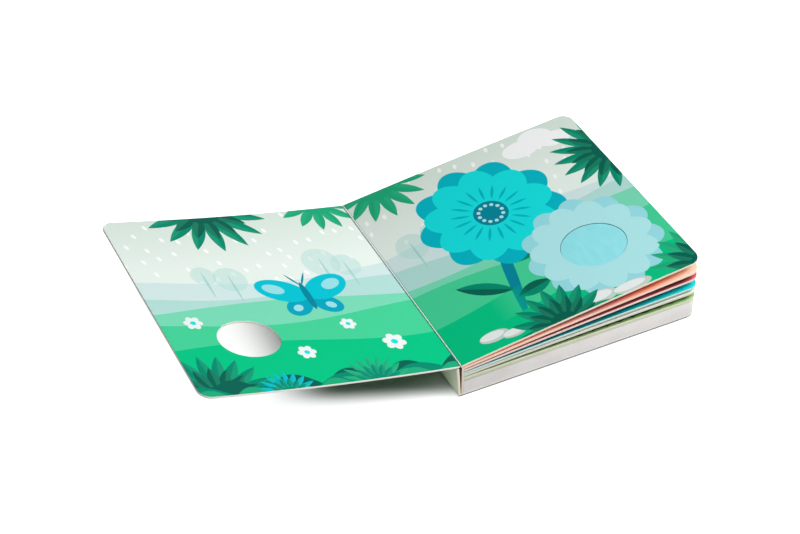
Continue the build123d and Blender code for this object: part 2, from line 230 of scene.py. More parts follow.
def petals(place, centre, count, inner, outer, half, turn=0.0, pointed=False):
    # One petal between two radii, copied round the centre by wrapping the angle into one sector
    local = localTo(place, centre, turn)
    x, y = split(local)
    sector = math.pi / count
    angle = x.math("WRAP", x.math("ARCTAN2", y, x), sector, -sector)
    away = local.vector("LENGTH", local, output="Value")
    reach, middle = (outer - inner) / 2, (inner + outer) / 2
    along = angle.math("MULTIPLY_ADD", away * angle.math("COSINE", angle), 1 / reach, -middle / reach)
    across = away * angle.math("SINE", angle)
    if pointed:
        whole = edgeMask(along.math("MULTIPLY_ADD", along * along, -half, half) - abs(across))
        return whole, whole * edgeMask(across)
    across = across / half
    return edgeMask((1 - along.math("SQRT", along * along + across * across)) * min(half, reach))


def hill(s, v, base, rise, wave, phase, bushes=False):
    # Below a height of base plus rise times a sine along the spread, or times its size for round bushes
    swing = s.math("SINE", s.math("MULTIPLY_ADD", s, 1 / wave, phase))
    swing = abs(swing) if bushes else swing
    return edgeMask(swing.math("MULTIPLY_ADD", swing, rise, base) - v)


def drops(place, pitch, size, keep, turn=0.0):
    # One oval drop in each cell of a turned grid, moved and left out by the cell's random numbers
    cells = localTo(place, (0, 0), turn, pitch)
    cell = cells.vector("FLOOR", cells)
    chance, kept = (
        cell.node("ShaderNodeTexWhiteNoise", {"noise_dimensions": "2D"}, {"Vector": cell}, name)
        for name in ("Color", "Value")
    )
    centre = cells.vector("MULTIPLY_ADD", chance, (0.5, 0.5, 0), (0.25, 0.25, 0))
    moved = cells.vector("SUBTRACT", cells.vector("FRACTION", cells), centre)
    local = moved.vector("MULTIPLY", moved, (pitch[0] / size[0], pitch[1] / size[1], 0))
    away = local.vector("LENGTH", local, output="Value")
    return edgeMask((1 - away) * size[0]) * kept.math("LESS_THAN", kept, keep)


# Prints, as fields of colour and simple shapes on the page: u from the gutter, v from the tail

inks = {
    "sky": ink(228, 239, 232),
    "skyTop": ink(214, 228, 218),
    "haze": ink(206, 228, 227),
    "mist": ink(176, 218, 212),
    "trunk": ink(150, 202, 196),
    "meadowPale": ink(118, 213, 178),
    "meadow": ink(66, 203, 148),
    "grass": ink(0, 190, 128),
    "deepLeaf": ink(0, 92, 76),
    "leaf": ink(0, 134, 106),
    "softLeaf": ink(30, 164, 118),
    # painted shade for the grooves beside the fold
    "creaseShade": ink(40, 96, 82),
    "stone": ink(198, 210, 206),
    "chalk": ink(232, 238, 236),
    "dew": ink(248, 250, 249),
    "aqua": ink(20, 220, 220),
    "aquaDeep": ink(0, 178, 194),
    "teal": ink(0, 130, 152),
    "paleBlue": ink(174, 230, 233),
    "powder": ink(150, 218, 226),
    "wing": ink(0, 190, 206),
    "wingLow": ink(0, 160, 184),
    "cover": ink(176, 198, 158),
    "coverTop": ink(196, 212, 180),
    "field": ink(150, 184, 136),
    "fieldNear": ink(116, 164, 112),
    # painted light: near white, so that the spine's face reads lit under the open cover
    "spine": ink(246, 255, 226),
}

# The meadow runs on from the left page to the right one; a hill is its base, rise, wave, phase and ink
meadow = {
    "skyFade": (130, 60),
    "rain": ((13, 17), (1.45, 2.7), 0.78, -14),  # pitch, size, share that is kept and turn of the drops
    "rainFrom": (104, 16),
    "farHills": ((116, 6, 42, 0.5, "haze"), (100, 5, 34, 2.0, "mist")),
    "nearHills": ((86, 5, 46, 3.9, "meadowPale"), (70, 5, 38, 1.1, "meadow"), (44, 6, 42, 5.0, "grass")),
    "crown": (1.12, 0.5),  # a tree's height by its width, and its strength
    "trunk": (26, 6, 0.9),  # below and above the middle of the crown, and half its width
    "trunkStrength": 0.7,
    "leafFoot": 5,
    "leafLit": 0.16,  # strength of a leaf's lighter half
    "leafCore": 0.42,  # share of the leaves' reach
}


def paintHills(art, s, v, rows, bushes=False):
    for base, rise, wave, phase, name in rows:
        art = art.paint(hill(s, v, base, rise, wave, phase, bushes), inks[name])
    return art


def meadowGround(place, s, v):
    # Pale sky that darkens towards the head, drops in it, and the far hills
    art = mixed(fade(v, *meadow["skyFade"]), inks["sky"], inks["skyTop"])
    art = art.paint(drops(place, *meadow["rain"]) * past(v, *meadow["rainFrom"]), inks["dew"])
    return paintHills(art, s, v, meadow["farHills"])


def mistyTrees(art, place, trees):
    # Round crowns over thin trunks, half lost in the mist
    tall, strength = meadow["crown"]
    below, above, half = meadow["trunk"]
    for (x, y), radius in trees:
        art = art.paint(oval(place, (x, y), (radius, tall * radius)) * strength, inks["mist"])
        trunk = blade(place, (x, y - below), (x, y + above), half)[0]
        art = art.paint(trunk * meadow["trunkStrength"], inks["trunk"])
    return art


def sprays(art, place, bunches):
    # Pointed leaves round a centre at the page's edge, row over row, each with a lighter half, and a core
    for centre, rows in bunches:
        for count, reach, half, turn, name in rows:
            whole, lit = petals(place, centre, count, meadow["leafFoot"], reach, half, turn, True)
            art = art.paint(whole, inks[name]).paint(lit * meadow["leafLit"], inks["meadow"])
            core = meadow["leafCore"] * reach
            art = art.paint(oval(place, centre, (core, core)), inks[name])
    return art


def pebbles(art, place, stones):
    # Pale stones, each with a lighter top
    for (x, y), (a, b) in stones:
        art = art.paint(oval(place, (x, y), (a, b)), inks["stone"])
        art = art.paint(oval(place, (x - 0.12 * a, y + 0.2 * b), (0.82 * a, 0.7 * b)), inks["chalk"])
    return art


def paintCreaseShade(art, u, width, soft, strength):
    # Painted shade: a dark line beside the fold, where the groove at the fold lies in shadow
    return art.paint(edgeMask(width - u, soft) * strength, inks["creaseShade"])


# Left page. A daisy is its centre, turn and size; a spray its centre and rows of leaves, each with a count,
# reach, half width, turn and ink
leftPage = {
    "trees": (((30, 121), 11), ((47, 127), 14), ((121, 117), 12), ((139, 123), 9)),  # crown and radius
    "daisies": (((166, 74), 8, 0.8), ((34, 34), 20, 1.0), ((100, 34), 0, 0.8), ((58, 58), 14, 0.7)),
    "daisy": (1.5, 8.5, 3.0, 2.5),  # inner and outer radius and half width of its six petals, and its heart
    "moth": (73, 92),
    "mothBody": (2.6, 15),
    "feeler": (11, 8, 26, 0.8),  # its foot up from the moth, its tip across and up, and half its width
    "wings": (  # offset from the moth, radii, turn and ink, on both sides
        ((11, -11), (11, 8.5), -38, "wingLow"),
        ((17, 8), (19, 11.5), 28, "wing"),
        ((22, 10.5), (8, 5), 28, "powder"),
        ((12.5, -12), (4, 3.2), -38, "powder"),
    ),
    "spraysBehind": (
        ((112, 197), ((15, 48, 5.0, 5, "leaf"), (13, 34, 4.6, 17, "deepLeaf"))),
        ((22, 196), ((13, 33, 4.0, 3, "softLeaf"),)),
        ((176, -4), ((21, 44, 4.6, 2, "leaf"), (17, 32, 4.2, 9, "deepLeaf"))),
    ),
    "bushes": ((0, 14, 13.5, 1.2, "deepLeaf"), (-3, 13, 17.0, 0.2, "leaf"), (-4, 10, 9.5, 2.0, "softLeaf")),
    "spraysBefore": (
        ((62, -4), ((21, 27, 2.3, 4, "softLeaf"), (17, 19, 2.2, 9, "leaf"))),
        ((128, -4), ((19, 22, 1.9, 2, "aquaDeep"), (15, 15, 1.9, 8, "leaf"))),
    ),
    "creaseShade": (1.4, 0.5, 0.6),
}


def leftMeadow(place, u, v):
    # Misty trees, a moth over the grass with daisies, round bushes at the tail and sprays from the head
    s = 0 - u
    art = mistyTrees(meadowGround(place, s, v), place, leftPage["trees"])
    art = paintHills(art, s, v, meadow["nearHills"])
    for centre, turn, size in leftPage["daisies"]:
        inner, outer, half, heart = (size * length for length in leftPage["daisy"])
        art = art.paint(petals(place, centre, 6, inner, outer, half, turn), inks["chalk"])
        art = art.paint(oval(place, centre, (heart, heart)), inks["aqua"])
    x, y = leftPage["moth"]
    foot, out, tip, half = leftPage["feeler"]
    for side in (-1, 1):
        for (across, up), radii, turn, name in leftPage["wings"]:
            art = art.paint(oval(place, (x + side * across, y + up), radii, side * turn), inks[name])
        art = art.paint(blade(place, (x, y + foot), (x + side * out, y + tip), half)[0], inks["teal"])
    art = art.paint(oval(place, (x, y), leftPage["mothBody"]), inks["teal"])
    art = sprays(art, place, leftPage["spraysBehind"])
    art = paintHills(art, s, v, leftPage["bushes"], True)
    return paintCreaseShade(sprays(art, place, leftPage["spraysBefore"]), u, *leftPage["creaseShade"])


# Right page. A ring of petals is its count, inner and outer radius, half width, turn and ink
rightPage = {
    "trees": (((24, 122), 12), ((43, 128), 9)),
    "clouds": (((140, 172), (15, 9)), ((155, 177), (14, 11)), ((168, 170), (13, 8))),
    "stem": ((58, 6), (84, 118), 4.2),
    "stemLeaves": (((66, 44), (30, 66), 6.0), ((72, 70), (104, 74), 6.0), ((64, 36), (92, 40), 6.0)),
    "bloom": (88, 122),
    "bloomPetals": ((9, 4, 56, 17.5, 20, "aquaDeep"), (9, 3, 49, 15.5, 0, "aqua")),
    "bloomStreaks": (18, 15, 30, 1.1),
    "bloomHeart": (13, 13),
    "bloomDots": (12, 7.5, 10.5, 1.5),
    "grassEnds": (58, 30),  # the near hill fades out here, under the pale bloom
    "foreHill": (25, 6, 42, 4.4, "grass"),
    "patchPetals": ((11, 8, 51, 14.0, 16, "powder"), (11, 6, 46, 12.5, 0, "paleBlue")),
    "pebbles": (((112, 6), (13, 6)), ((136, 4), (15, 5)), ((32, 12), (11, 5)), ((46, 8), (9, 4))),
    "sprays": (
        ((80, -4), ((17, 38, 4.4, 6, "leaf"), (15, 27, 4.0, 16, "deepLeaf"))),
        ((197, 138), ((19, 45, 4.3, 3, "leaf"), (15, 33, 4.3, 13, "deepLeaf"))),
        ((194, -4), ((19, 42, 4.2, 7, "softLeaf"), (15, 31, 4.2, 15, "deepLeaf"))),
        ((28, 197), ((15, 40, 4.4, 8, "softLeaf"),)),
    ),
    "paintedShade": (0.14, (0.0, 0.01, 0.0, 1)),  # painted shade: the whole page is darkened a little, as less light falls on it than on the left page
    "creaseShade": (1.1, 0.5, 0.5),
}


def paintPetals(art, place, centre, rings):
    for count, inner, outer, half, turn, name in rings:
        art = art.paint(petals(place, centre, count, inner, outer, half, turn), inks[name])
    return art


def rightMeadow(place, u, v):
    # A tall aqua bloom, a pale bloom whose heart is the touch patch, pebbles and sprays of leaves
    art = mistyTrees(meadowGround(place, u, v), place, rightPage["trees"])
    for centre, radii in rightPage["clouds"]:
        art = art.paint(oval(place, centre, radii), inks["dew"])
    *hills, nearHill = meadow["nearHills"]
    art = paintHills(art, u, v, hills).paint(blade(place, *rightPage["stem"])[0], inks["teal"])
    for leaf in rightPage["stemLeaves"]:
        whole, half = blade(place, *leaf)
        art = art.paint(whole, inks["leaf"]).paint(half, inks["deepLeaf"])
    bloom = rightPage["bloom"]
    art = paintPetals(art, place, bloom, rightPage["bloomPetals"])
    art = art.paint(petals(place, bloom, *rightPage["bloomStreaks"], pointed=True)[0], inks["aquaDeep"])
    art = art.paint(oval(place, bloom, rightPage["bloomHeart"]), inks["teal"])
    art = art.paint(petals(place, bloom, *rightPage["bloomDots"]), inks["paleBlue"])
    end, soft = rightPage["grassEnds"]
    art = art.paint(hill(u, v, *nearHill[:4]) * edgeMask(end - u, soft), inks[nearHill[4]])
    art = paintHills(art, u, v, (rightPage["foreHill"],))
    art = paintPetals(art, place, book["patch"], rightPage["patchPetals"])
    art = sprays(pebbles(art, place, rightPage["pebbles"]), place, rightPage["sprays"])
    # Painted shade darkens the whole page a little
    return paintCreaseShade(art.paint(*rightPage["paintedShade"]), u, *rightPage["creaseShade"])


# Inner spreads, seen as stripes between the boards
innerSpread = {
    "bloom": (12, 8, 44, 10.0),  # petals, their inner and outer radius and half width
    "dots": ((22, 22), (2.2, 2.2), 0.6, 20),
    "dotsFrom": (90, 8),
    "tail": (2.6, 5),  # painted light: a pale margin at the tail, for the light that reaches this open edge, and its softness
    "scallop": (1.2, 3.4, 0.6),  # base, wave and phase of a scalloped one
    # painted light: a pale margin near the fore edge, where light reaches between the boards
    "litForeMargin": (182, 12),
    "litForeStrength": 0.5,
}


def plainSpread(fields, spot, pale, litTailStrength, scallop=0):
    # Fields of colour from the gutter to the fore edge, a bloom and dots, with pale margins at the fore edge
    # and the tail: painted light where light reaches the open edges
    spot, pale = ink(*spot), ink(*pale)

    def art(place, u, v):
        colour = toned(u * (1 / book["pageWidth"]), *((at, ink(*tone)) for at, tone in fields))
        base, wave, phase = innerSpread["scallop"]
        edge, soft = innerSpread["tail"]
        tail = hill(u, v, base, scallop, wave, phase, True) if scallop else edgeMask(edge - v, soft)
        fore = past(u, *innerSpread["litForeMargin"]) * innerSpread["litForeStrength"]
        # Painted light: paler margins at the tail and at the fore edge
        colour = colour.paint(tail * litTailStrength, pale).paint(fore, pale)
        colour = colour.paint(petals(place, book["patch"], *innerSpread["bloom"]), spot)
        return colour.paint(drops(place, *innerSpread["dots"]) * past(v, *innerSpread["dotsFrom"]), spot)

    return art


coralFields = (
    (0.3, (226, 108, 82)),
    (0.48, (176, 62, 58)),
    (0.62, (196, 66, 66)),
    (0.78, (242, 124, 80)),
    (0.93, (255, 204, 172)),
)
wineFields = ((0.3, (132, 34, 44)), (0.92, (116, 28, 38)), (0.99, (214, 62, 82)))
tealFields = ((0.3, (0, 94, 104)), (0.65, (0, 112, 120)), (0.82, (0, 162, 168)), (0.95, (16, 202, 206)))
greyFields = ((0.3, (188, 190, 172)), (0.75, (210, 216, 198)), (0.97, (226, 230, 212)))
mossFields = ((0.3, (52, 72, 34)), (0.75, (50, 90, 38)), (0.97, (120, 168, 92)))
spreads = (  # fields, bloom, colour of the pale margins, their strength at the tail and its scallops; the pale margins are painted light
    plainSpread(coralFields, (250, 232, 214), (255, 208, 190), 0.5),
    plainSpread(wineFields, (244, 176, 160), (226, 120, 124), 0.2),
    plainSpread(tealFields, (196, 236, 234), (60, 206, 204), 0.15),
    plainSpread(greyFields, (240, 242, 234), (226, 230, 216), 0.3),
    plainSpread(mossFields, (226, 236, 190), (196, 220, 160), 0.34, 1.4),
)

# Outside of both covers: soft green with rolling fields and pale dots
outside = {
    "greenFade": (20, 150),
    "dots": ((18, 18), (1.7, 1.7), 0.7, 22),
    "dotsFrom": (74, 10),
    "frontFields": ((66, 9, 36, 0.4, "field"), (40, 8, 30, 2.2, "fieldNear")),
    "frontBloom": (14, 14, 42, 7.0),
    "frontSprays": (((40, -4), ((19, 40, 4.0, 5, "softLeaf"),)),),
    "backFields": ((34, 7, 36, 0.4, "field"), (18, 6, 30, 2.2, "fieldNear")),
}


def coverDots(place, v):
    return drops(place, *outside["dots"]) * past(v, *outside["dotsFrom"])


def coverArt(place, u, v):
    # Front: two fields, a bloom round the hole and a spray of leaves
    art = mixed(fade(v, *outside["greenFade"]), inks["cover"], inks["coverTop"])
    art = paintHills(art.paint(coverDots(place, v), inks["chalk"]), u, v, outside["frontFields"])
    art = art.paint(petals(place, book["patch"], *outside["frontBloom"]), inks["paleBlue"])
    return sprays(art, place, outside["frontSprays"])


def backArt(place, u, v):
    # Back: two low fields that end at the spine, whose near-white band is painted light so that the spine
    # reads lit under the open cover
    art = mixed(fade(v, *outside["greenFade"]), inks["cover"], inks["coverTop"])
    art = art.paint(edgeMask(1 - u, 1), inks["spine"])
    art = art.paint(coverDots(place, v) * edgeMask(u - 2, 2), inks["chalk"])
    for *shape, name in outside["backFields"]:
        art = art.paint(hill(u, v, *shape) * edgeMask(u - 1, 1), inks[name])
    return art


# Finishes of paper and board

def pagePlace(place, along, offset):
    # Place on a page as a vector, and its u and v
    u = measure(place, along, offset)
    v = measure(place, (0, 1, 0), book["pageHeight"] / 2)
    return u.node("ShaderNodeCombineXYZ", inputs={0: u, 1: v}), u, v


def printFinish(name, art, plane, startU=0.0):
    # Laminated print: the art on the board's own u and v, a faint mottle and the paper's fibres
    material, place = newFinish(name)
    offset = startU - float(np.dot(plane["origin"], plane["along"]))
    colour = art(*pagePlace(place, plane["along"], offset))
    mottle = grain(place, 260, 4)
    colour = colour.paint(mottle * 0.045, (0.30, 0.33, 0.30, 1), "MULTIPLY")
    return setSurface(material, colour, 0.48 + mottle * 0.10, bump(grain(place, 1900, 2), 0.05), 0.06)


def cutGrain(place):
    # Thin plies along a cut edge, and torn fibres
    return grain(place, 55, 3, (1, 1, 42)), grain(place, 900, 4, (1, 1, 2.4))


def cutSurface(material, tone, plies, fibre):
    return setSurface(material, tone, 0.80 + fibre * 0.14, bump(fibre + plies, 0.25), 0.3)


def boardFinish(name, colour, dark, flecks=0.5):
    # Grey or cream board where it is cut: a ply tone with pale flecks of fibre
    material, place = newFinish(name)
    plies, fibre = cutGrain(place)
    tone = toned(plies, (0.30, ink(*dark)), (0.62, ink(*colour)))
    tone = tone.paint(edgeMask(fibre - 0.62, 0.2) * flecks, ink(252, 247, 238))
    return cutSurface(material, tone, plies, fibre)


def paperFinish(name, colour, dark):
    # Uncoated paper: cloudy tone and a fine felt grain
    material, place = newFinish(name)
    felt = grain(place, 2600, 3)
    tone = toned(grain(place, 70, 4), (0.3, ink(*dark)), (0.7, ink(*colour)))
    return setSurface(material, tone, 0.72 + felt * 0.16, bump(felt, 0.12), 0.3)


edgeCream = boardFinish("boardEdgeCream", (246, 236, 220), (232, 216, 194))
coverEdge = boardFinish("coverEdge", (252, 250, 244), (242, 238, 230))
# The windows' walls are dark teal grey: painted shade for the shadow in the recess round each patch
windowWallShade = boardFinish("windowWallShade", (70, 120, 128), (44, 92, 102), 0.1)
hingeCard = paperFinish("hingeCard", (150, 132, 116), (126, 108, 94))
liningCream = paperFinish("liningCard", (240, 228, 212), (228, 214, 196))
innerPaper = paperFinish("innerPaper", (240, 240, 234), (226, 226, 220))
windowCard = paperFinish("windowCard", (196, 190, 180), (176, 170, 160))
print("paper and board finishes made")


# Surfaces

def linked(name, data):
    thing = bpy.data.objects.new(name, data)
    scene.collection.objects.link(thing)
    return thing


def finishPiece(name, mesh, finishes, numbers, slot, body=None, node=None):
    # Smooth piece with a material number for each face, on its body and in place of its solid
    for finish in finishes:
        mesh.materials.append(finish)
    mesh.polygons.foreach_set("material_index", np.asarray(numbers, dtype=np.int32))
    mesh.polygons.foreach_set("use_smooth", np.ones(len(mesh.polygons), dtype=bool))
    mesh.update()
    piece = linked(name, mesh)
    if body:
        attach(piece, body)
    if node:
        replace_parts(piece, node)
    return piece


def ringPiece(name, rings, poles, finishes, ringFinish, *home):
    # Rings of points in millimetres: quads between neighbouring rings and fans at the two poles, or without
    # poles the last ring joins the first. ringFinish numbers the material from each ring to the next.
    count, columns = rings.shape[:2]
    rows, column = np.arange(count if poles is None else count - 1), np.arange(columns)
    beside = (column + 1) % columns
    here, after = rows[:, None] * columns, (rows[:, None] + 1) % count * columns
    quads = np.stack([here + column, here + beside, after + beside, after + column], -1)
    faces = quads.reshape(-1, 4).tolist()
    points, owner = rings.reshape(-1, 3), np.repeat(rows, columns).tolist()
    if poles is not None:
        last, first = len(points) - columns, len(points)
        faces += np.stack([np.full(columns, first), beside, column], -1).tolist()
        faces += np.stack([last + column, last + beside, np.full(columns, first + 1)], -1).tolist()
        points, owner = np.concatenate([points, poles]), owner + [0] * columns + [count - 1] * columns
    mesh = bpy.data.meshes.new(name)
    mesh.from_pydata((points * 0.001).tolist(), [], faces)
    return finishPiece(name, mesh, finishes, np.broadcast_to(ringFinish, (count,))[owner], *home)


def roundedBox(low, high, radii, turn, run):
    # A quarter circle about a point drawn in by its radius at each corner, anticlockwise from the high one,
    # with a straight run before it; rows of two numbers
    signs = np.array([[1, 1], [-1, 1], [-1, -1], [1, -1]])
    centres = np.where(signs > 0, high, low) - signs * np.array(radii)[:, None]
    rows = []
    for k in range(4):
        angle = turn + k * np.pi / 2
        towards = np.stack([np.cos(angle), np.sin(angle)], -1)
        begin, stop = (centres[j] + radii[j] * towards[0] for j in (k - 1, k))
        rows += [np.outer(1 - run, begin) + np.outer(run, stop), centres[k] + radii[k] * towards]
    return np.concatenate(rows)


# How every board is rounded at its cut edges, and the rings on its faces
boardShape = {
    "soft": 0.28,  # radius of the cut edges
    "support": 0.7,  # first ring inside an edge
    "lipRoom": 0.4,  # first ring round a cut
    "bend": np.linspace(0, np.pi / 2, 4),  # steps round an edge
    "printEnds": 0.7,  # the print goes round the edge up to this angle
    "shares": np.linspace(0, 1, 15),  # rings between the cut and the edge
    "floorShares": (0.3, 0.7, 0.97),  # rings on a window's floor
    "backShares": np.linspace(0, 0.92, 10),  # rings on a back that has no hole
    "run": np.linspace(0, 1, 40, endpoint=False),  # points along a straight side
    "turn": np.linspace(0, np.pi / 2, 14, endpoint=False),  # and round a corner
}


def boardOutline(start, end, inset):
    # The board's outline drawn in by inset; rows of u and y
    half = book["pageHeight"] / 2 - inset
    fore, spine = (max(book[name] - inset, 0.02) for name in ("foreRadius", "spineRadius"))
    low, high = (start + inset, -half), (end - inset, half)
    return roundedBox(low, high, (fore, spine, spine, fore), boardShape["turn"], boardShape["run"])


def placedOn(plane, flat, bow, start, end):
    # Board's own u, y and z in the frame; the bow adds 4 bow s (1 - s) to z, with s the share along the board
    share = (flat[..., 0] - start) / (end - start)
    height = flat[..., 2] + 4 * bow * share * (1 - share)
    origin, along, across, normal = (np.array(plane[k]) for k in ("origin", "along", "across", "normal"))
    return origin + flat[..., :1] * along + flat[..., 1:2] * across + height[..., None] * normal


def boardSurface(name, plane, shape, centre, bow, start, end, finishes, *home):
    # Rings from the cut to the board's edge and round to the other face. A ring is the oval of the cut, the
    # outline, or a straight mix of the two. A window closes in a pole at its floor; at a hole the rings close.
    soft, support, bend, printEnds = (boardShape[k] for k in ("soft", "support", "bend", "printEnds"))
    thick, depth, lip = (shape[k] for k in ("thick", "depth", "lip"))
    middle, radii = np.array(centre), np.array(shape["cut"])
    outer = (boardOutline(start, end, 0) - middle) / radii
    angle = np.arctan2(outer[:, 1], outer[:, 0])
    unit = np.stack([np.cos(angle), np.sin(angle)], -1)
    rings, finish = [], []

    def ovalRing(grow, z, share=1.0):
        return np.column_stack([middle + unit * (radii + grow) * share, np.full(len(unit), z)])

    def edgeRing(inset, z):
        return np.column_stack([boardOutline(start, end, inset), np.full(len(unit), z)])

    def put(ring, number):
        rings.append(ring)
        finish.append(number)  # finish of the faces from this ring to the next one

    through = depth >= thick
    if not through:
        for share in boardShape["floorShares"]:
            put(ovalRing(0, -depth, share), 3)
        put(ovalRing(0, -depth), 4)
    put(ovalRing(0, -lip), 1 if through else 4)
    for a in bend[1:]:
        put(ovalRing(lip * (1 - np.cos(a)), -lip * (1 - np.sin(a))), 0)
    nearCut, nearEdge = ovalRing(lip + boardShape["lipRoom"], 0), edgeRing(support, 0)
    for share in boardShape["shares"]:
        put((1 - share) * nearCut + share * nearEdge, 0)
    for a in bend:
        put(edgeRing(soft * (1 - np.sin(a)), -soft * (1 - np.cos(a))), 0 if a < printEnds else 1)
    for a in bend:
        put(edgeRing(soft * (1 - np.cos(a)), soft * (1 - np.sin(a)) - thick), 1 if a < printEnds else 2)
    farEdge, poles = edgeRing(support, -thick), None
    if through:
        farCut = ovalRing(lip + boardShape["lipRoom"], -thick)
        for share in boardShape["shares"]:
            put((1 - share) * farEdge + share * farCut, 2)
        for a in bend[:0:-1]:
            put(ovalRing(lip * (1 - np.cos(a)), lip * (1 - np.sin(a)) - thick), 2)
        put(ovalRing(0, lip - thick), 1)
    else:
        back = np.array([(start + end) / 2, 0, -thick])
        for share in boardShape["backShares"]:
            put((1 - share) * farEdge + share * back, 2)
        poles = placedOn(plane, np.array([[*middle, -depth], back]), bow, start, end)
    grid = placedOn(plane, np.stack(rings), bow, start, end)
    return ringPiece(name, grid, poles, finishes, finish, *home)


def tiltedPlane(x, z, degrees, leftwards=False):
    # Board's frame at its spine end: along the board, across it and out of its upper face
    tilt = math.radians(degrees)
    side = -1 if leftwards else 1
    return {
        "origin": (x, 0.0, z),
        "along": (side * math.cos(tilt), 0.0, math.sin(tilt)),
        "across": (0.0, float(side), 0.0),
        "normal": (-side * math.sin(tilt), 0.0, math.cos(tilt)),
    }


# Front cover, open to the left; its cut is as deep as the board, so it is a hole
frontCover = {
    "tilt": 15.2,
    "thick": 1.8,
    "bow": -2.0,
    "start": 0.6,
    "paper": 0.1,  # the fold's paper lies over its inner face
    "cut": (22.0, 19.0),
    "depth": 1.8,
    "lip": 0.22,
}
plane = tiltedPlane(*book["gutter"], frontCover["tilt"], True)
plane["origin"] = tuple(np.array(plane["origin"]) - frontCover["paper"] * np.array(plane["normal"]))
centre = (book["patch"][0], book["pageHeight"] / 2 - book["patch"][1])
span = (frontCover["bow"], frontCover["start"], book["pageWidth"])
inside = printFinish("leftPagePrint", leftMeadow, plane)
finishes = [inside, coverEdge, printFinish("coverOutsidePrint", coverArt, plane)]
home = ("cover_board", "front_cover", "front_cover")  # slot, body and solid
coverPiece = boardSurface("frontCoverBoard", plane, frontCover, centre, *span, finishes, *home)
print("front cover made,", len(coverPiece.data.polygons), "faces")

# Page boards, fanned; each prints the spread it belongs to on both of its faces
pages = {
    "tilts": (7.0, 4.9, 3.7, 1.9, 1.2, 0.0),
    "pitch": 2.35,
    "thick": 2.1,
    "bow": 0.7,
    "cut": (24.5, 21.25),  # windows for the patches
    "depth": 1.2,
    "lip": 0.18,
    "edges": (  # cut edges take a little of the print beside them
        ((246, 238, 216), (230, 218, 192)),
        ((252, 228, 208), (240, 208, 186)),
        ((246, 226, 218), (230, 206, 196)),
        ((212, 234, 228), (190, 218, 212)),
        ((226, 226, 214), (206, 208, 194)),
        ((226, 234, 204), (204, 216, 178)),
    ),
}
prints = (rightMeadow, *spreads)
patchPlanes = []
for index, tilt in enumerate(pages["tilts"]):
    number = index + 1
    startU = book["inset"] if index else 0.0
    plane = tiltedPlane(book["gutter"][0] + startU, book["gutter"][1] - index * pages["pitch"], tilt)
    length = book["pageWidth"] - startU
    bow = pages["bow"] if tilt else 0.0
    finishes = [
        printFinish(f"page{number}Print", prints[index], plane, startU),
        boardFinish(f"page{number}Edge", *pages["edges"][index]),
        innerPaper,
        windowCard,
        windowWallShade,
    ]
    if number < len(prints):
        finishes[2] = printFinish(f"page{number}BackPrint", prints[number], plane, startU)
    centre = (book["patch"][0] - startU, book["patch"][1] - book["pageHeight"] / 2)
    home = ("page_board", "book_block", "page_block")
    boardSurface(f"pageBoard{number}", plane, pages, centre, bow, 0.0, length, finishes, *home)
    patchPlanes.append((plane, centre, bow, length))
print("page boards made")


# Touch patches, one glued in each window: the shown one is pale aqua
patches = {
    "radii": (24.3, 21.05),
    "floor": -1.2,
    "glue": 0.02,
    "thick": 0.7,
    "crown": 0.22,  # soft middle over the rim
    "rim": 0.3,
    "under": 0.4,  # the lower face is drawn in this far before its fan
    "around": 120,
    "shares": np.linspace(0.06, 1, 18),  # rings on the crown
    "turn": np.linspace(0, np.pi / 2, 5)[1:],  # and over the rim
    "colours": (
        ((134, 214, 220), (124, 208, 216)),
        ((250, 196, 160), (238, 172, 138)),
        ((236, 130, 130), (220, 106, 112)),
        ((150, 226, 214), (120, 206, 198)),
        ((238, 228, 204), (224, 210, 184)),
        ((176, 210, 130), (152, 192, 108)),
    ),
}


def patchFinish(name, colour, dark):
    # Short brushed pile: streaks of the brush, fine hairs and a soft sheen
    material, place = newFinish(name)
    brush = grain(place, 210, 4, (1, 0.35, 1))
    hairs = grain(place, 4200, 2, (1, 0.6, 1), 0.6)
    tone = toned(brush, (0.28, ink(*dark)), (0.66, ink(*colour)))
    tone = tone.paint(edgeMask(hairs - 0.57, 0.24) * 0.16, ink(206, 240, 242))
    normal = bump(hairs + brush * 0.6, 0.35, 0.0003)
    sheen = {"Sheen Weight": 0.22, "Sheen Roughness": 0.45}
    return setSurface(material, tone, 0.72 + hairs * 0.2, normal, 0.25, **sheen)


def patchSurface(name, plane, centre, bow, length, finish, node):
    # Crowned oval: z falls with the square of the share from the middle, turns over a round rim, then is flat
    angle = np.linspace(0, 2 * np.pi, patches["around"], endpoint=False)
    unit = np.stack([np.cos(angle), np.sin(angle)], -1)
    rim, crown = patches["rim"], patches["crown"]
    lift = 4 * bow * (centre[0] / length) * (1 - centre[0] / length)  # the bow at the middle of the window
    upper, lower = patches["floor"] + patches["thick"] + lift, patches["floor"] + patches["glue"] + lift
    shares, turn = patches["shares"], patches["turn"]
    grow = np.concatenate([np.full(len(shares), -rim), rim * np.sin(turn) - rim, [0.0, -patches["under"]]])
    scale = np.concatenate([shares, np.ones(len(turn) + 2)])
    over = upper - rim * (1 - np.cos(turn))
    height = np.concatenate([upper + crown * (1 - shares**2), over, [lower, lower]])
    sides = centre + unit * (patches["radii"] + grow[:, None, None]) * scale[:, None, None]
    flat = np.concatenate([sides, np.broadcast_to(height[:, None, None], (*sides.shape[:2], 1))], -1)
    poles = np.array([[*centre, upper + crown], [*centre, lower]])
    flat, poles = (placedOn(plane, points, 0.0, 0.0, length) for points in (flat, poles))
    return ringPiece(name, flat, poles, [finish], 0, "patch_cloth", "book_block", node)


for index, (plane, centre, bow, length) in enumerate(patchPlanes):
    name = f"touchPatch{index + 1}"
    pile = patchFinish(name + "Pile", *patches["colours"][index])
    patchSurface(name, plane, np.array(centre), bow, length, pile, f"touch_patch_{index + 1}")
print("touch patches made")


# Fold of the printed paper at the gutter, and the glue between the inner boards

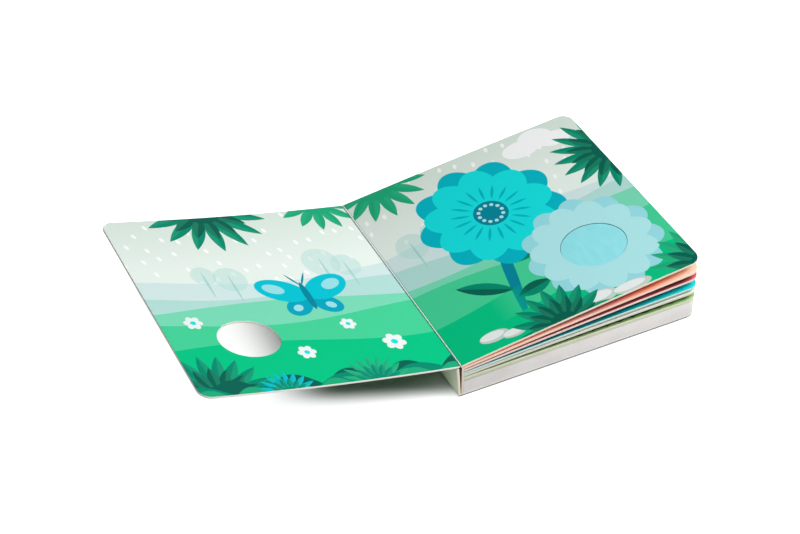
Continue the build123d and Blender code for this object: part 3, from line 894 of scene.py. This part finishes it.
def carried(name, outline, end, steps, finish, *home):
    # Closed outline of X and Z carried along Y from one end to the other, which close in a fan
    y = np.linspace(-end, end, steps)[:, None]
    rings = np.stack(np.broadcast_arrays(outline[None, :, 0], y, outline[None, :, 1]), -1)
    x, z = outline.mean(0)
    return ringPiece(name, rings, np.array([[x, -end, z], [x, end, z]]), [finish], 0, *home)


gutterFold = {
    "middle": (0.0, 0.02),
    "radii": (0.48, 0.46),
    "ends": 94.7,
    "steps": 40,
    "around": 24,
    "paleAndHighlight": 0.66,  # the stretched print is so much paler, which is also a painted highlight on the raised fold
    "cracks": 0.22,
    "bends": (0.4, -0.5),  # X from the gutter on the page's side and on the cover's side
}


def foldFinish():
    # The page's hills run over the fold, paler where the paper is stretched and cracked; the paleness is also
    # a painted highlight on the raised fold
    material, place = newFinish("foldPrint")
    page, s, v = pagePlace(place, (1, 0, 0), -book["gutter"][0])
    art = paintHills(meadowGround(page, s, v), s, v, meadow["nearHills"])
    cracks = grain(place, 420, 4, (3, 1, 3))
    paleAndLit = gutterFold["paleAndHighlight"] + edgeMask(cracks - 0.55, 0.3) * gutterFold["cracks"]
    art = art.paint(paleAndLit, inks["chalk"])
    return setSurface(material, art, 0.45 + cracks * 0.2, bump(cracks, 0.3, 0.0003))


turn = np.linspace(0, 2 * np.pi, gutterFold["around"], endpoint=False)
ring = np.stack([np.cos(turn), np.sin(turn)], -1) * gutterFold["radii"]
outline = np.array(book["gutter"]) + gutterFold["middle"] + ring
span = (gutterFold["ends"], gutterFold["steps"])
foldPiece = carried("gutterFold", outline, *span, foldFinish(), "cover_board")
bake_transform(foldPiece)

binding = {
    "low": (-92.35, 15.2),  # X and Z
    "high": (-89.7, 27.7),
    "ends": 94.6,
    "steps": 12,
    "corners": (0.3, 0.3, 0.3, 0.3),
    "turn": np.linspace(0, np.pi / 2, 5),
    "run": np.zeros(0),  # no points between the corners
}
outline = roundedBox(*(binding[k] for k in ("low", "high", "corners", "turn", "run")))
span = (binding["ends"], binding["steps"])
carried("pageBinding", outline, *span, edgeCream, "page_board", "book_block", "page_block")
print("gutter fold and binding made")


# Rounded copies of the solids whose edges show

softEdges = {"merge": 2e-6, "flat": 0.6, "segments": 2, "sharp": 38}  # metres, and angles in degrees


def softenedCopy(node, name, width, finishes, pick, slot):
    # Copy of a solid: doubles merged, flat triangles joined, then a narrow bevel along its sharp edges
    work = bmesh.new()
    work.from_mesh(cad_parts[node].data)
    bmesh.ops.remove_doubles(work, verts=work.verts, dist=softEdges["merge"])
    flat = math.radians(softEdges["flat"])
    bmesh.ops.dissolve_limit(work, angle_limit=flat, verts=work.verts, edges=work.edges)
    mesh = bpy.data.meshes.new(name)
    work.to_mesh(mesh)
    work.free()
    count = len(mesh.polygons)
    normals, centres = np.zeros(count * 3), np.zeros(count * 3)
    mesh.polygons.foreach_get("normal", normals)
    mesh.polygons.foreach_get("center", centres)
    numbers = pick(normals.reshape(-1, 3), centres.reshape(-1, 3) * 1000)
    piece = finishPiece(name, mesh, finishes, numbers, slot, "book_block", node)
    soft = piece.modifiers.new("softEdges", "BEVEL")
    soft.width = width * 0.001
    soft.segments = softEdges["segments"]
    soft.limit_method = "ANGLE"
    soft.angle_limit = math.radians(softEdges["sharp"])
    soft.harden_normals = True


backCover = {
    "soft": 0.25,
    "spineEnds": -93.4,  # X where the cream cut edge of the spine board ends
    "turnedPaperShade": 0.95,  # height of the dark band at the foot: the print paper turned under the board, darkened further as a painted contact shadow
    "boardTop": 2.5,  # faces below this belong to the back board
    "spineTop": 26.0,
}


def backEdgeFinish():
    # Cut edge of the back: pale grey board, cream at the spine, with a dark band at its foot that is the print
    # paper turned under it and a painted contact shadow
    material, place = newFinish("backBoardEdge")
    plies, fibre = cutGrain(place)
    tone = toned(plies, (0.3, ink(226, 222, 218)), (0.65, ink(238, 235, 232)))
    tone = tone.paint(edgeMask(backCover["spineEnds"] - measure(place, (1, 0, 0)), 1.0), ink(242, 230, 212))
    tone = tone.paint(edgeMask(backCover["turnedPaperShade"] - measure(place, (0, 0, 1)), 0.3), ink(96, 96, 86))
    return cutSurface(material, tone, plies, fibre)


def backFaces(normals, centres):
    # Print outside, white paper inside, dull card behind the spine, and the cut edge elsewhere
    x, z = centres[:, 0], centres[:, 2]
    outwards, up = -normals[:, 0], normals[:, 2]
    low = z < backCover["boardTop"]
    ends = np.abs(normals[:, 1]) > 0.5
    lower = (up < -0.5) & (z < 0.3)
    spine = (outwards > 0.3) & (x < -94) & (z < backCover["spineTop"])
    fold = (outwards > -0.05) & (up < -0.02) & (x < -93) & low
    behind = (outwards < -0.5) & (x < -93)
    return np.select([ends, lower | spine | fold, behind, (up > 0.5) & low], [1, 0, 3, 2], 1)


lining = {"soft": 0.3, "facing": -0.6}  # below this X of its normal, a face is towards the spine board


def liningFaces(normals, centres):
    # The face towards the spine board is dull card
    return np.where(normals[:, 0] < lining["facing"], 1, 0)


backPlane = {"origin": (book["gutter"][0], 0.0, 0.0), "along": (1.0, 0.0, 0.0)}
backFinishes = [printFinish("backPrint", backArt, backPlane), backEdgeFinish(), innerPaper, hingeCard]
softenedCopy("back_cover", "backCoverBoard", backCover["soft"], backFinishes, backFaces, "cover_board")
liningFinishes = [liningCream, hingeCard]
softenedCopy("spine_lining", "spineLiningCard", lining["soft"], liningFinishes, liningFaces, "lining_card")

foam = {
    "soft": 0.6,
    "cells": 2600.0,
    "glue": 1.5,  # a yellowish grey band of painted shade under the last board, so far down at the middle of the base
    "boardShadeSlope": 0.0075,  # and less towards the fore edge
}


def boxOf(node):
    # Low and high corner of a solid, in millimetres
    return [1000 * np.array(corner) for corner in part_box(node)]


def foamFinish():
    # Closed-cell foam: pale cells a third of a millimetre across, a slow change of tone, and a yellowish grey
    # band of painted shade at the top under the last board
    material, place = newFinish("whiteFoam")
    inputs = {"Vector": place, "Scale": foam["cells"]}
    cells = place.node("ShaderNodeTexVoronoi", {"feature": "F1"}, inputs, "Distance")
    tone = toned(grain(place, 45, 3), (0.3, ink(232, 229, 227)), (0.7, ink(243, 240, 238)))
    tone = tone.paint(edgeMask(cells - 0.62, 0.3) * 0.12, ink(176, 174, 182))
    # Painted shade under the last board, wider at the gutter than at the fore edge
    underBoardShade = measure(place, (0, 0, 1)) - (boxOf("foam_base")[1][2] - foam["glue"])
    underBoardShade = underBoardShade - measure(place, (1, 0, 0)) * foam["boardShadeSlope"]
    tone = tone.paint(edgeMask(underBoardShade, 1.0) * 0.75, ink(196, 197, 172))
    return setSurface(material, tone, 0.86 + cells * 0.1, bump(cells, 0.25), 0.25)


def onlyOne(normals, centres):
    return np.zeros(len(normals))


softenedCopy("foam_base", "foamBase", foam["soft"], [foamFinish()], onlyOne, "white_foam")
print("covers, lining and base softened")


# Sound module: finishes for the solids that stay as they are

def shaded(level, colour, share, low):
    # From a darker share of the colour to the full one
    full = ink(*colour)
    return toned(level, (low, (*(share * c for c in full[:3]), 1.0)), (1 - low, full))


def plasticFinish(name, colour, rough, sparkle=3000):
    # Moulded plastic: an eroded texture and a faint flow tone
    material, place = newFinish(name)
    texture = grain(place, sparkle, 3)
    tone = shaded(grain(place, 60, 2, (1, 0.4, 1)), colour, 0.86, 0.25)
    return setSurface(material, tone, rough + texture * 0.12, bump(texture, 0.12))


def metalFinish(name, colour, rough, stretch=(1, 1, 1)):
    # Bare or plated metal: drawn streaks in its tone and gloss
    material, place = newFinish(name)
    streak = grain(place, 500, 4, stretch)
    tone = shaded(streak, colour, 0.72, 0.3)
    return setSurface(material, tone, rough + streak * 0.18, bump(streak, 0.08), metal=1.0)


cell = {"bareLow": 1.6, "bareHigh": 2.4, "band": 15}


def cellFinish():
    # Round cell: shrunk sleeve in two colours with a seam band, bare metal at both ends
    material, place = newFinish("cellSleeve")
    x = measure(place, (1, 0, 0))
    low, high = (corner[0] for corner in boxOf("battery_1"))
    wrap = edgeMask(x - (low + cell["bareLow"])) * edgeMask(high - cell["bareHigh"] - x)
    scuff = grain(place, 300, 4)
    colour = mixed(wrap, ink(196, 198, 200), ink(38, 44, 50))
    colour = colour.paint(edgeMask(x - (high - cell["band"])) * wrap, ink(196, 142, 74))
    colour = colour.paint(scuff * 0.12, ink(120, 124, 128))
    return setSurface(material, colour, 0.28 + scuff * 0.16, metal=1 - wrap)


def laminateFinish():
    # Circuit laminate: green mask over copper tracks with tinned pads
    material, place = newFinish("circuitLaminate")
    flat = place.vector("MULTIPLY", place, (1000, 1000, 0))
    x, y = split(flat)
    lanes = abs(x.math("WRAP", x + x.math("SINE", y * 0.35) * 2.2, 1.3, -1.3))
    pads = drops(flat, (3.6, 3.6), (0.7, 0.7), 0.45)
    glass = grain(place, 1600, 2)
    colour = mixed(edgeMask(0.32 - lanes), ink(22, 92, 58), ink(44, 128, 80))
    colour = colour.paint(pads, ink(206, 206, 200)).paint(glass * 0.1, ink(10, 50, 30))
    return setSurface(material, colour, 0.36 + glass * 0.12, metal=pads)


can = {"bareTop": 0.35, "halfStripe": 0.7}


def capacitorFinish():
    # Can with a dark sleeve, a pale stripe on one side and a bare top
    material, place = newFinish("canSleeve")
    low, high = boxOf("capacitor")
    middle = (low + high) / 2
    x, y, z = split(place.vector("MULTIPLY", place, (1000, 1000, 1000)), 3)
    top = edgeMask(z - (high[2] - can["bareTop"]))
    stripe = edgeMask(can["halfStripe"] - abs(y - middle[1])) * edgeMask(x - middle[0])
    scuff = grain(place, 700, 3)
    colour = mixed(stripe, ink(34, 42, 62), ink(170, 176, 186))
    colour = colour.paint(top, ink(200, 200, 202)).paint(scuff * 0.1, ink(90, 94, 104))
    return setSurface(material, colour, 0.3 + scuff * 0.2, metal=top)


def leadFinish(name, node, across):
    # Two thin leads side by side: red on one side of the pair's middle, black on the other
    material, place = newFinish(name)
    side = edgeMask(measure(place, across) - float(np.dot(across, sum(boxOf(node)) / 2)))
    sleeve = grain(place, 1500, 2)
    colour = mixed(side, ink(36, 36, 40), ink(196, 44, 40)).paint(sleeve * 0.15, ink(90, 70, 70))
    return setSurface(material, colour, 0.36 + sleeve * 0.15)


def coneFinish():
    # Pressed paper cone: rings about the loudspeaker's axis and loose fibres
    material, place = newFinish("conePaper")
    flat = place.vector("MULTIPLY", place, (1000, 1000, 0))
    local = localTo(flat, sum(boxOf("speaker_cone"))[:2] / 2)
    away = local.vector("LENGTH", local, output="Value")
    rings = away.math("SINE", away * 5.2)
    fibre = grain(place, 1400, 4)
    tone = toned(fibre, (0.3, ink(34, 34, 36)), (0.7, ink(62, 62, 66)))
    return setSurface(material, tone, 0.75 + fibre * 0.15, bump(fibre + rings * 0.5, 0.3, 0.0003))


def rubberFinish():
    # Silicone dome: cloudy, soft and a little dusty
    material, place = newFinish("domeRubber")
    dust = grain(place, 900, 4)
    tone = toned(dust, (0.3, ink(196, 198, 200)), (0.75, ink(222, 224, 226)))
    soft = {"Subsurface Weight": 0.15, "Subsurface Radius": (0.002, 0.002, 0.002)}
    return setSurface(material, tone, 0.55 + dust * 0.2, **soft)


cellSleeve, laminate = cellFinish(), laminateFinish()
stripMetal = metalFinish("contactStrip", (204, 204, 198), 0.22, (1, 4, 1))
moduleFinishes = {
    "module_case": plasticFinish("casePlastic", (226, 226, 222), 0.46),
    "battery_door": plasticFinish("doorPlastic", (232, 232, 228), 0.42),
    "door_screw": metalFinish("screwSteel", (176, 178, 182), 0.24),
    "battery_1": cellSleeve,
    "battery_2": cellSleeve,
    "contact_bridge": stripMetal,
    "contact_positive": stripMetal,
    "contact_negative": stripMetal,
    "circuit_board": laminate,
    "sound_chip": plasticFinish("blackResin", (26, 26, 28), 0.18, 900),
    "capacitor": capacitorFinish(),
    "speaker_frame": metalFinish("speakerSteel", (186, 188, 190), 0.3),
    "speaker_magnet": plasticFinish("magnetFerrite", (70, 70, 74), 0.5, 1500),
    "speaker_cone": coneFinish(),
    "power_switch_body": metalFinish("switchSteel", (190, 192, 194), 0.26, (4, 1, 1)),
    "power_switch_knob": plasticFinish("knobPlastic", (40, 40, 44), 0.4),
    "button_guide": plasticFinish("guidePlastic", (220, 222, 220), 0.46),
    "button_cap": plasticFinish("buttonPlastic", (236, 236, 232), 0.36),
    "button_plate": laminate,
    "battery_wires": leadFinish("batteryWiresSleeve", "battery_wires", (0, 1, 0)),
    "speaker_wires": leadFinish("speakerWiresSleeve", "speaker_wires", (0, 1, 0)),
    "button_wires": leadFinish("buttonWiresSleeve", "button_wires", (0.707, 0.707, 0)),
}
for node, finish in moduleFinishes.items():
    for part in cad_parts[node].material_slots:
        part.material = finish

# Rubber dome under the button: a flat crown and a bulging wall down to its foot on the plate
dome = {
    "foot": 6.0,
    "crown": 3.5,
    "crownRings": np.linspace(0.5, 3.3, 6),  # radii on the flat crown
    "wall": 0.6,
    "wallShares": np.linspace(0, 1, 9),
    "bulge": (0.175, 0.21),
    "pole": 0.4,  # no ring is smaller
    "around": 64,
}


def domeSurface():
    # Turned outline from the crown out and down a bulging wall, under the foot and back up inside; r and z
    low, high = boxOf("button_dome")
    middle, top, wallThick = (low + high) / 2, high[2], dome["wall"]
    share = dome["wallShares"]
    wall = np.outer(1 - share, (dome["crown"], top)) + np.outer(share, (dome["foot"], low[2]))
    wall += np.outer(np.sin(np.pi * share), dome["bulge"])
    inner = wall[::-1] - (wallThick, 0)
    inner[:, 1] = np.minimum(inner[:, 1], top - wallThick)
    crown = np.stack(np.broadcast_arrays(dome["crownRings"], top), -1)
    outline = np.concatenate([crown, wall, inner, crown[::-1] - (0, wallThick)])
    radius, height = np.maximum(outline[:, :1], dome["pole"]), outline[:, 1:]
    turn = np.linspace(0, 2 * np.pi, dome["around"], endpoint=False)
    circle = (middle[0] + radius * np.cos(turn), middle[1] - radius * np.sin(turn), height)
    rings = np.stack(np.broadcast_arrays(*circle), -1)
    poles = np.array([[*middle[:2], top], [*middle[:2], top - wallThick]])
    piece = ringPiece("buttonDomeRubber", rings, poles, [rubberFinish()], 0, "dome_rubber")
    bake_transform(piece)
    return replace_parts(piece, "button_dome")


domeSurface()
print("sound module finished,", len(moduleFinishes), "solids")


# Floor, light and camera

studio = {
    "floorHalf": 4.0,
    "floorZ": -0.0001,
    "floorTone": 0.70,  # what the floor gives back to the book
    "floorSeen": 0.48,  # and what the camera sees of it, before the lift
    "floorLift": 0.95,  # white added for the camera and for reflections only, but not under the book
    "liftEdges": (  # direction on the floor, millimetres where the lift is full, and those it grows over
        ((0.0, -1.0), 110.0, 16.0),
        ((-0.384, -0.923), 133.5, 24.0),
        ((-1.0, 0.063), 223.0, 64.5),
        ((1.0, 0.0), 104.0, 30.0),
        ((0.0, 1.0), 110.0, 44.0),
    ),
    "shelter": (0.45, 0.80),  # inside them: open share of the sky for no lift, and for all of it
    "shelterReach": 0.2,
    "shelterSamples": 12,
    "shelterFacing": (0.8, -0.2, 1.0),  # the sky is looked at towards the key light
    "ambient": 0.085,
    "aim": (-0.08, 0.0, 0.02),
    "key": {"place": (0.85, -0.5, 1.3), "size": 1.0, "power": 23.6},
    "fill": {"place": (-0.2, -0.8, 1.5), "size": 1.0, "power": 11.4},
}


def pathMask(start):
    # 1 for what the camera sees straight, in a reflection or through glass
    names = ("Is Camera Ray", "Is Glossy Ray", "Is Transmission Ray")
    straight, mirrored, through = (start.node("ShaderNodeLightPath", output=name) for name in names)
    return straight | mirrored | through


def makeFloor():
    # Matt floor, lifted to white outside the book's shelter, so that only the shadow is left of it
    half, z = studio["floorHalf"], studio["floorZ"]
    mesh = bpy.data.meshes.new("studioFloor")
    corners = [(-half, -half, z), (half, -half, z), (half, half, z), (-half, half, z)]
    mesh.from_pydata(corners, [], [(0, 1, 2, 3)])
    material = bpy.data.materials.new("studioFloor")
    material.use_nodes = True
    tree = material.node_tree
    tree.nodes.clear()
    start = Wire(tree)
    seen = pathMask(start)
    tone = studio["floorTone"] + seen * (studio["floorSeen"] - studio["floorTone"])
    place = start.node("ShaderNodeTexCoord", output="Object")
    facing = np.array(studio["shelterFacing"]) / np.linalg.norm(studio["shelterFacing"])
    normal = start.node("ShaderNodeCombineXYZ", inputs=dict(enumerate(facing.tolist())))
    inputs = {"Distance": studio["shelterReach"], "Normal": normal}
    sky = start.node("ShaderNodeAmbientOcclusion", {"samples": studio["shelterSamples"]}, inputs, "AO")
    low, high = studio["shelter"]
    shade = sky.node("ShaderNodeMapRange", {"interpolation_type": "SMOOTHSTEP"}, {0: sky, 1: high, 2: low})
    for (x, y), full, soft in studio["liftEdges"]:
        reach = measure(place, (x, y, 0))
        inputs = {0: reach, 1: full, 2: full - soft}
        shade = shade * reach.node("ShaderNodeMapRange", {"interpolation_type": "SMOOTHERSTEP"}, inputs)
    strength = seen * ((1 - shade) * studio["floorLift"])
    matt = start.node("ShaderNodeBsdfDiffuse", inputs={"Color": tone})
    lift = start.node("ShaderNodeEmission", inputs={"Color": (1, 1, 1, 1), "Strength": strength})
    both = start.node("ShaderNodeAddShader", inputs={0: matt, 1: lift})
    tree.links.new(both.socket, tree.nodes.new("ShaderNodeOutputMaterial").inputs["Surface"])
    mesh.materials.append(material)
    linked("studioFloor", mesh)


def makeWorld():
    # White where it is seen, and an even dim light elsewhere
    world = bpy.data.worlds.new("studioWorld")
    world.use_nodes = True
    scene.world = world
    strength = studio["ambient"] + pathMask(Wire(world.node_tree)) * (1 - studio["ambient"])
    ground = world.node_tree.nodes["Background"]
    ground.inputs["Color"].default_value = (1, 1, 1, 1)
    world.node_tree.links.new(strength.socket, ground.inputs["Strength"])


def lookFrom(place, back):
    # Frame whose Z points back from the target, with X level
    back = np.array(back) / np.linalg.norm(back)
    right = np.cross((0, 0, 1), back)
    right /= np.linalg.norm(right)
    turned = np.eye(4)
    turned[:3, :3] = np.stack([right, np.cross(back, right), back], -1)
    turned[:3, 3] = place
    return Matrix(turned.tolist())


def makeLamp(name, place, size, power):
    lamp = bpy.data.lights.new(name, "AREA")
    lamp.shape = "DISK"
    lamp.size = size
    lamp.energy = power
    linked(name, lamp).matrix_world = lookFrom(place, np.array(place) - studio["aim"])


photoCamera = {
    "azimuth": -26.0,
    "elevation": 41.0,
    "distance": 1.415,
    "target": (-0.0779, 0.0335, 0.010),
    "lens": 87.75,
}


def makeCamera():
    az, el = math.radians(photoCamera["azimuth"]), math.radians(photoCamera["elevation"])
    back = np.array([math.sin(az) * math.cos(el), -math.cos(az) * math.cos(el), math.sin(el)])
    camera = bpy.data.cameras.new("photoCamera")
    camera.sensor_width = 36.0
    camera.sensor_fit = "HORIZONTAL"
    camera.lens = photoCamera["lens"]
    camera.clip_start = 0.01
    camera.clip_end = 30.0
    scene.camera = linked("photoCamera", camera)
    place = np.array(photoCamera["target"]) + photoCamera["distance"] * back
    scene.camera.matrix_world = lookFrom(place, back)


makeFloor()
makeWorld()
for name in ("key", "fill"):
    makeLamp(name + "Light", **studio[name])
makeCamera()
print("floor, light and camera set")
